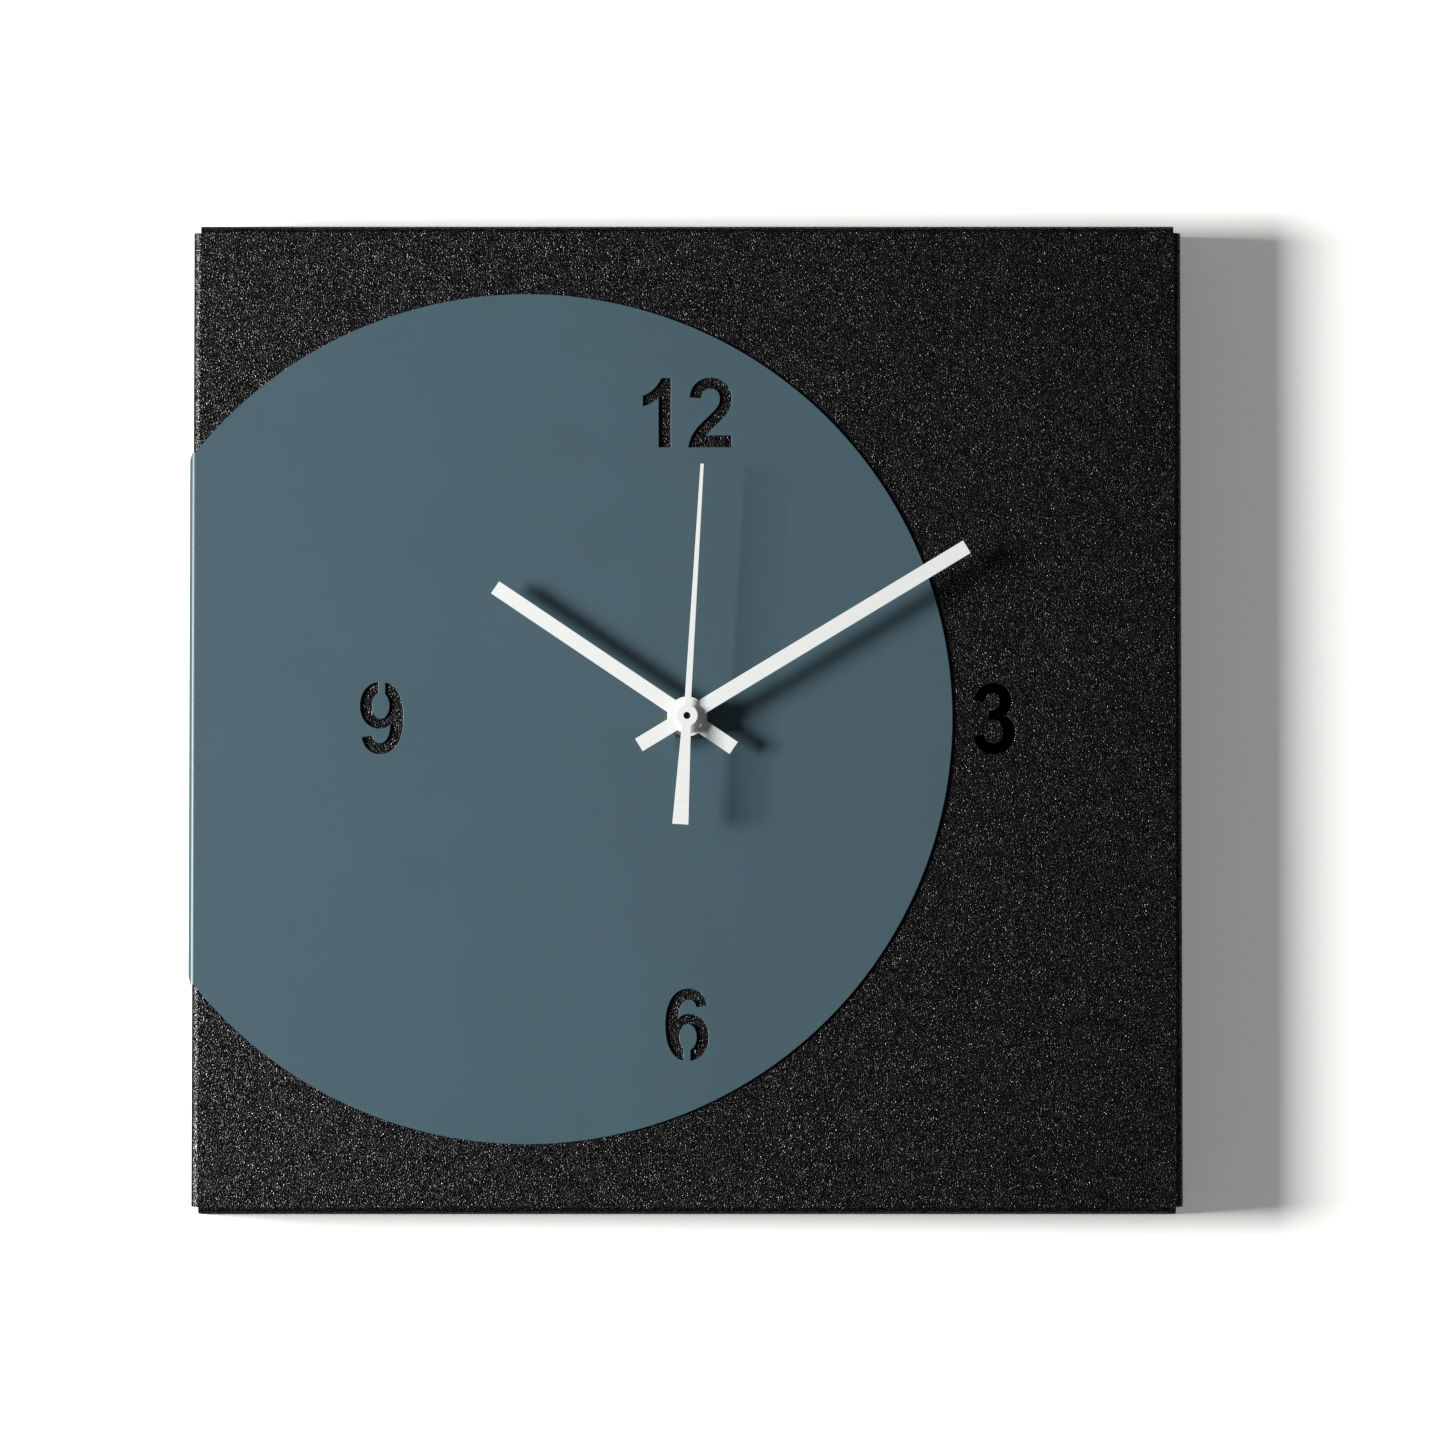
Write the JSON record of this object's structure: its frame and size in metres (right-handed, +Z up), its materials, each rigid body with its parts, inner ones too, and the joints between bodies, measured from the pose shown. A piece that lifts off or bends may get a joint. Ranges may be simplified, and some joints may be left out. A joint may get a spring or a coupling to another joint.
{
  "type": "wall clock",
  "caption": "Square wall clock of folded black steel with an off-centre round blue plate folded round its left side, cut-out numerals, white bar hands and a battery quartz movement.",
  "frame": {"origin": "top of the keyhole slot on the wall plane, where the wall screw carries the clock; the dial's axis is 166 mm below it", "axes": "+Z up towards 12 o'clock, +X to the viewer's right, -Y towards the viewer, so the wall is the plane y = 0"},
  "size_m": [0.3512, 0.0523, 0.35],
  "materials": {
    "black_paint": "textured powder coat",
    "blue_paint": "satin powder coat",
    "white_paint": "fine satin paint",
    "zinc_steel": "zinc plated",
    "brass": "machined",
    "rubber": "moulded",
    "black_plastic": "fine spark-eroded texture",
    "natural_plastic": "moulded",
    "white_plastic": "moulded",
    "magnet": "sintered",
    "copper": "enamelled wire",
    "board_green": "solder mask",
    "sleeve": "shrink film"
  },
  "bodies": {
    "case": {"case_shell": "black_paint", "hanging_strap": "zinc_steel", "dial_plate": "blue_paint", "rubber_washer": "rubber", "threaded_bushing": "brass", "hex_nut": "brass", "front_housing": "black_plastic", "rear_cover": "black_plastic", "mid_plate": "natural_plastic", "train_bridge": "natural_plastic", "motor_stator": "zinc_steel", "coil_bobbin": "natural_plastic", "coil_winding": "copper", "circuit_board": "board_green", "controller_chip": "black_plastic", "quartz_crystal": "zinc_steel", "positive_contact": "zinc_steel", "negative_contact": "zinc_steel"},
    "second": {"second_wheel": "white_plastic", "second_hand": "white_paint", "second_hand_pipe": "brass"},
    "minute": {"centre_wheel": "white_plastic", "minute_hand": "white_paint"},
    "hour": {"hour_wheel": "white_plastic", "hour_hand": "white_paint"},
    "third": {"third_wheel": "white_plastic"},
    "intermediate": {"intermediate_wheel": "white_plastic"},
    "rotor": {"rotor_pinion": "white_plastic", "rotor_magnet": "magnet"},
    "motion": {"motion_wheel": "white_plastic"},
    "setting": {"setting_shaft": "white_plastic", "setting_knob": "white_plastic"},
    "battery": {"battery_cell": "zinc_steel", "battery_sleeve": "sleeve"}
  },
  "joints": [
    {"name": "second_spin", "type": "hinge", "parent": "case", "child": "second", "pos_m": [0, -0.025, -0.166], "axis": [0, 1, 0], "continuous": true},
    {"name": "minute_spin", "type": "hinge", "parent": "case", "child": "minute", "pos_m": [0, -0.025, -0.166], "axis": [0, 1, 0], "continuous": true},
    {"name": "hour_spin", "type": "hinge", "parent": "case", "child": "hour", "pos_m": [0, -0.025, -0.166], "axis": [0, 1, 0], "continuous": true},
    {"name": "third_spin", "type": "hinge", "parent": "case", "child": "third", "pos_m": [-0.009, -0.025, -0.166], "axis": [0, 1, 0], "continuous": true},
    {"name": "intermediate_spin", "type": "hinge", "parent": "case", "child": "intermediate", "pos_m": [0.00636, -0.025, -0.15964], "axis": [0, 1, 0], "continuous": true},
    {"name": "rotor_spin", "type": "hinge", "parent": "case", "child": "rotor", "pos_m": [0.01228, -0.025, -0.15748], "axis": [0, 1, 0], "continuous": true},
    {"name": "motion_spin", "type": "hinge", "parent": "case", "child": "motion", "pos_m": [0.009, -0.025, -0.166], "axis": [0, 1, 0], "continuous": true},
    {"name": "setting_spin", "type": "hinge", "parent": "case", "child": "setting", "pos_m": [0.01674, -0.025, -0.17142], "axis": [0, 1, 0], "continuous": true},
    {"name": "battery_slide", "type": "slide", "parent": "case", "child": "battery", "axis": [0, 1, 0], "range_m": [0, 0.04]}
  ],
  "couplings": [
    {"joint": "minute_spin", "follows": "second_spin", "ratio": 0.016667},
    {"joint": "hour_spin", "follows": "second_spin", "ratio": 0.0013889},
    {"joint": "third_spin", "follows": "second_spin", "ratio": -0.13333},
    {"joint": "intermediate_spin", "follows": "second_spin", "ratio": -5},
    {"joint": "rotor_spin", "follows": "second_spin", "ratio": 30},
    {"joint": "motion_spin", "follows": "second_spin", "ratio": -0.0055556},
    {"joint": "setting_spin", "follows": "second_spin", "ratio": 0.013889}
  ]
}
